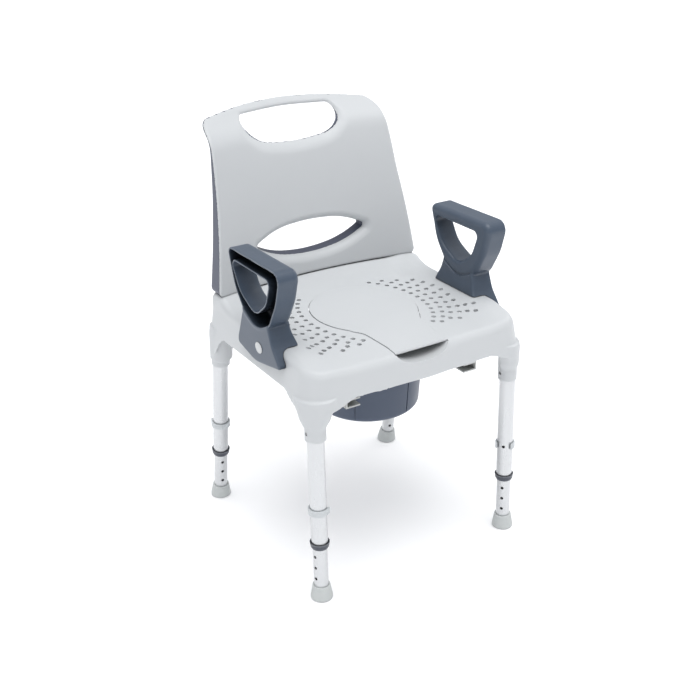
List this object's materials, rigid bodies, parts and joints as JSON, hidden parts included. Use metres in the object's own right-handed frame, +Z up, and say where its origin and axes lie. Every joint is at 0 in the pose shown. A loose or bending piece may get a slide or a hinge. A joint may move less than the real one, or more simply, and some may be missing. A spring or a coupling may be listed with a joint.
{
  "type": "shower stool",
  "caption": "Shower and commode chair: moulded seat with lift-off cover, backrest and armrests on telescopic tube legs, and a bucket on rails.",
  "frame": {"origin": "on the floor, under the middle of the bounding box", "axes": "+Z up, -Y the way the sitter faces, +X the sitter's left"},
  "size_m": [0.5224, 0.5628, 0.854],
  "materials": {
    "light_shell": "fine moulded satin, light grey",
    "slate_shell": "fine moulded satin, slate",
    "slate_armrest": "fine moulded satin, dark slate",
    "badge": "plain pale inlay",
    "rail_plastic": "moulded, off-white",
    "bucket_plastic": "moulded, slate blue",
    "handle_steel": "plain stainless rod",
    "anodised_tube": "satin anodised",
    "collar_plastic": "moulded, dark grey",
    "clip_plastic": "moulded, pale grey",
    "foot_rubber": "matt pale grey rubber",
    "screw_steel": "plain"
  },
  "bodies": {
    "chair": {"seat_shell": "light_shell", "leg_screws": "screw_steel", "bucket_rail_left": "rail_plastic", "bucket_rail_right": "rail_plastic", "rail_screws": "screw_steel", "upper_tube_front_left": "anodised_tube", "upper_tube_front_right": "anodised_tube", "upper_tube_rear_left": "anodised_tube", "upper_tube_rear_right": "anodised_tube", "collar_front_left": "collar_plastic", "collar_front_right": "collar_plastic", "collar_rear_left": "collar_plastic", "collar_rear_right": "collar_plastic"},
    "seat_cover": {"seat_cover": "light_shell"},
    "backrest": {"backrest_front_shell": "light_shell", "backrest_rear_shell": "slate_shell"},
    "armrest_left": {"armrest_left": "slate_armrest", "armrest_badge_left": "badge"},
    "armrest_right": {"armrest_right": "slate_armrest", "armrest_badge_right": "badge"},
    "bucket": {"bucket": "bucket_plastic"},
    "bucket_handle": {"bucket_handle": "handle_steel"},
    "leg_front_left": {"lower_tube_front_left": "anodised_tube", "foot_front_left": "foot_rubber"},
    "clip_front_left": {"clip_front_left": "clip_plastic"},
    "leg_front_right": {"lower_tube_front_right": "anodised_tube", "foot_front_right": "foot_rubber"},
    "clip_front_right": {"clip_front_right": "clip_plastic"},
    "leg_rear_left": {"lower_tube_rear_left": "anodised_tube", "foot_rear_left": "foot_rubber"},
    "clip_rear_left": {"clip_rear_left": "clip_plastic"},
    "leg_rear_right": {"lower_tube_rear_right": "anodised_tube", "foot_rear_right": "foot_rubber"},
    "clip_rear_right": {"clip_rear_right": "clip_plastic"}
  },
  "joints": [
    {"name": "seat_cover_lift", "type": "slide", "parent": "chair", "child": "seat_cover", "axis": [0, 0, 1], "range_m": [0, 0.2]},
    {"name": "backrest_lift", "type": "slide", "parent": "chair", "child": "backrest", "axis": [0, 0, 1], "range_m": [0, 0.15]},
    {"name": "armrest_left_lift", "type": "slide", "parent": "chair", "child": "armrest_left", "axis": [0, 0, 1], "range_m": [0, 0.12]},
    {"name": "armrest_right_lift", "type": "slide", "parent": "chair", "child": "armrest_right", "axis": [0, 0, 1], "range_m": [0, 0.12]},
    {"name": "bucket_slide", "type": "slide", "parent": "chair", "child": "bucket", "axis": [0, 1, 0], "range_m": [0, 0.42]},
    {"name": "bucket_handle_fold", "type": "hinge", "parent": "bucket", "child": "bucket_handle", "pos_m": [0, -0.064, 0.418], "axis": [1, 0, 0], "range_deg": [0, 22]},
    {"name": "leg_front_left_height", "type": "slide", "parent": "chair", "child": "leg_front_left", "axis": [0, -0.0297, -0.9996], "range_m": [-0.05, 0.1]},
    {"name": "clip_front_left_pull", "type": "slide", "parent": "chair", "child": "clip_front_left", "axis": [0.7771, 0.629, -0.0187], "range_m": [0, 0.045]},
    {"name": "leg_front_right_height", "type": "slide", "parent": "chair", "child": "leg_front_right", "axis": [0, -0.0297, -0.9996], "range_m": [-0.05, 0.1]},
    {"name": "clip_front_right_pull", "type": "slide", "parent": "chair", "child": "clip_front_right", "axis": [-0.9659, -0.2587, 0.0077], "range_m": [0, 0.045]},
    {"name": "leg_rear_left_height", "type": "slide", "parent": "chair", "child": "leg_rear_left", "axis": [-0.0104, 0.1374, -0.9905], "range_m": [-0.05, 0.1]},
    {"name": "clip_rear_left_pull", "type": "slide", "parent": "chair", "child": "clip_rear_left", "axis": [-0.293, -0.9474, -0.1284], "range_m": [0, 0.045]},
    {"name": "leg_rear_right_height", "type": "slide", "parent": "chair", "child": "leg_rear_right", "axis": [0.0104, 0.1374, -0.9905], "range_m": [-0.05, 0.1]},
    {"name": "clip_rear_right_pull", "type": "slide", "parent": "chair", "child": "clip_rear_right", "axis": [-0.1901, -0.9722, -0.1369], "range_m": [0, 0.045]}
  ]
}
